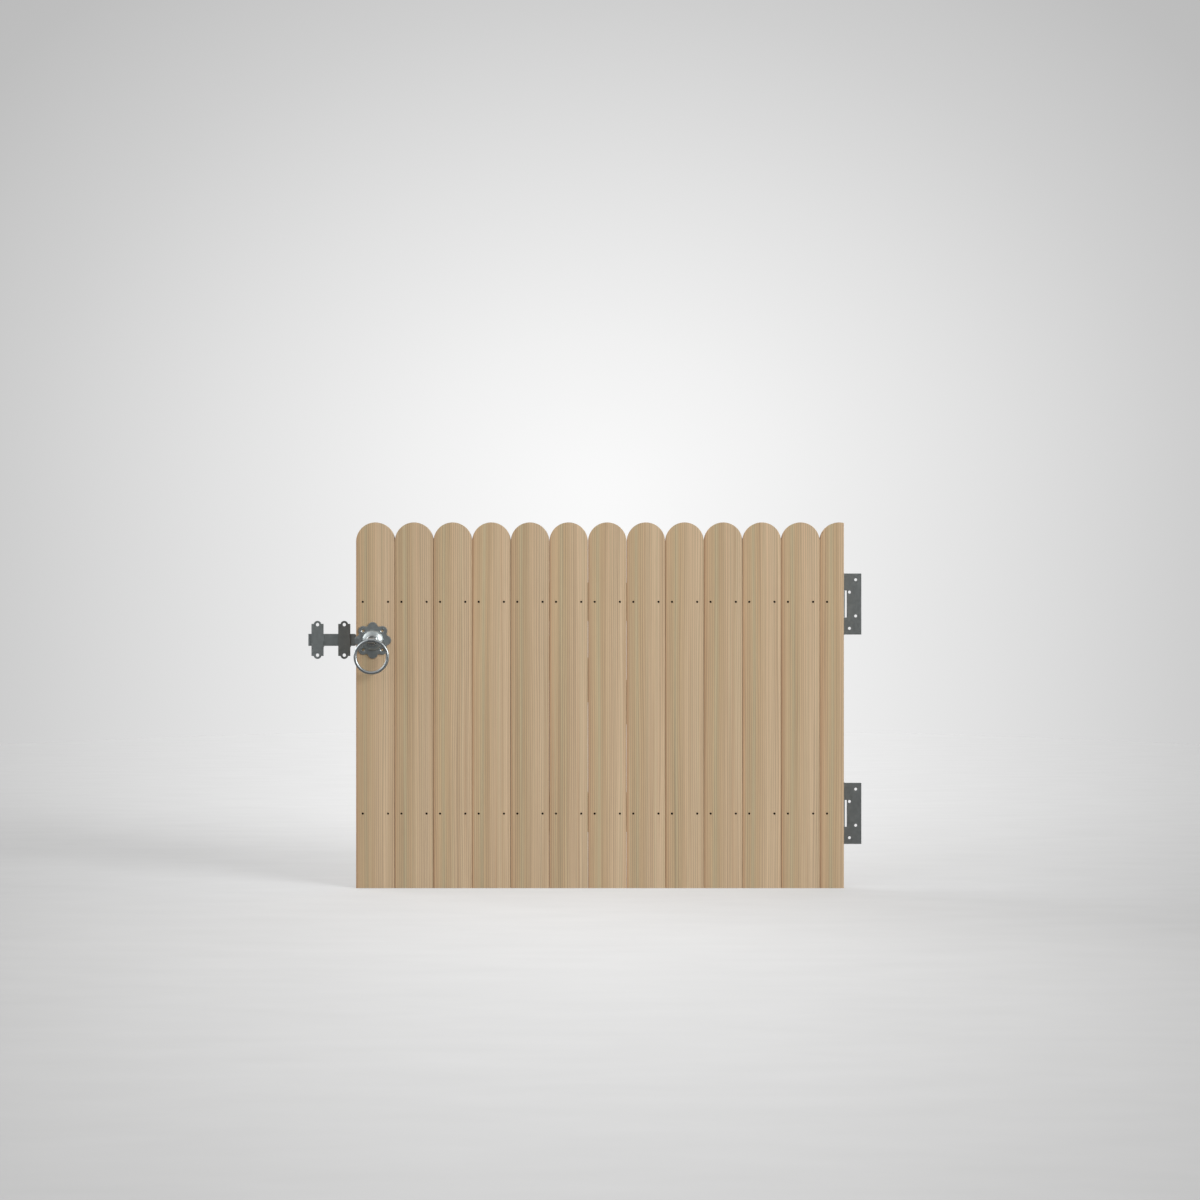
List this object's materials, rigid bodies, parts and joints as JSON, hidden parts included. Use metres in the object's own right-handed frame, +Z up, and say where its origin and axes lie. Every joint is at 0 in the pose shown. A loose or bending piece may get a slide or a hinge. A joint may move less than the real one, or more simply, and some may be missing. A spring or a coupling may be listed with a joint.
{
  "type": "garden gate",
  "caption": "Ledged and braced picket-top gate of vertical boards on two tee hinges, with a ring handle that lifts a latch bar out of two hooked keeps.",
  "frame": {"origin": "on the bedding face of the upper post leaf, level with the middle of the leaf and halfway between its two rows of holes", "axes": "+X from the latch side to the hinge side, +Y from the boarded face to the back, +Z up"},
  "size_m": [1.3766, 0.0973, 0.9],
  "materials": {
    "pine": "sawn and planed softwood, pressure treated, unpainted",
    "zinc_plated_steel": "dull zinc plate",
    "polished_steel": "bright zinc plate"
  },
  "bodies": {
    "post_side": {"upper_post_leaf": "zinc_plated_steel", "upper_hinge_pin": "zinc_plated_steel", "lower_post_leaf": "zinc_plated_steel", "lower_hinge_pin": "zinc_plated_steel", "near_keep": "zinc_plated_steel", "far_keep": "zinc_plated_steel"},
    "gate_leaf": {"back_plate": "zinc_plated_steel", "back_plate_screw_1": "zinc_plated_steel", "back_plate_screw_2": "zinc_plated_steel", "bar_guide": "zinc_plated_steel", "block_screw_1": "zinc_plated_steel", "block_screw_2": "zinc_plated_steel", "block_screw_3": "zinc_plated_steel", "block_screw_4": "zinc_plated_steel", "board_01": "pine", "board_02": "pine", "board_03": "pine", "board_04": "pine", "board_05": "pine", "board_06": "pine", "board_07": "pine", "board_08": "pine", "board_09": "pine", "board_10": "pine", "board_11": "pine", "board_12": "pine", "board_13": "pine", "brace_screw_1": "zinc_plated_steel", "brace_screw_2": "zinc_plated_steel", "brace_screw_3": "zinc_plated_steel", "brace_screw_4": "zinc_plated_steel", "diagonal_brace": "pine", "flower_rose": "zinc_plated_steel", "guide_screw_1": "zinc_plated_steel", "guide_screw_2": "zinc_plated_steel", "lock_block": "pine", "lower_ledge": "pine", "lower_strap": "zinc_plated_steel", "lower_strap_screw_1": "zinc_plated_steel", "lower_strap_screw_2": "zinc_plated_steel", "lower_strap_screw_3": "zinc_plated_steel", "lower_strap_screw_4": "zinc_plated_steel", "lower_strap_screw_5": "zinc_plated_steel", "upper_ledge": "pine", "upper_strap": "zinc_plated_steel", "upper_strap_screw_1": "zinc_plated_steel", "upper_strap_screw_2": "zinc_plated_steel", "upper_strap_screw_3": "zinc_plated_steel", "upper_strap_screw_4": "zinc_plated_steel", "upper_strap_screw_5": "zinc_plated_steel"},
    "latch": {"ring_hub": "polished_steel", "spindle": "zinc_plated_steel", "latch_bar": "zinc_plated_steel", "spindle_washer": "zinc_plated_steel", "cotter_pin": "zinc_plated_steel"},
    "ring": {"ring_handle": "polished_steel"}
  },
  "joints": [
    {"name": "gate_swing", "type": "hinge", "parent": "post_side", "child": "gate_leaf", "pos_m": [-0.02605, 0.0078, 0], "axis": [0, 0, -1], "range_deg": [0, 180]},
    {"name": "latch_turn", "type": "hinge", "parent": "gate_leaf", "child": "latch", "pos_m": [-1.18725, -0.0466, -0.08929], "axis": [0, 1, 0], "range_deg": [0, 28]},
    {"name": "ring_swing", "type": "hinge", "parent": "latch", "child": "ring", "pos_m": [-1.18725, -0.074, -0.08929], "axis": [-1, 0, 0], "range_deg": [-16, 163]}
  ]
}
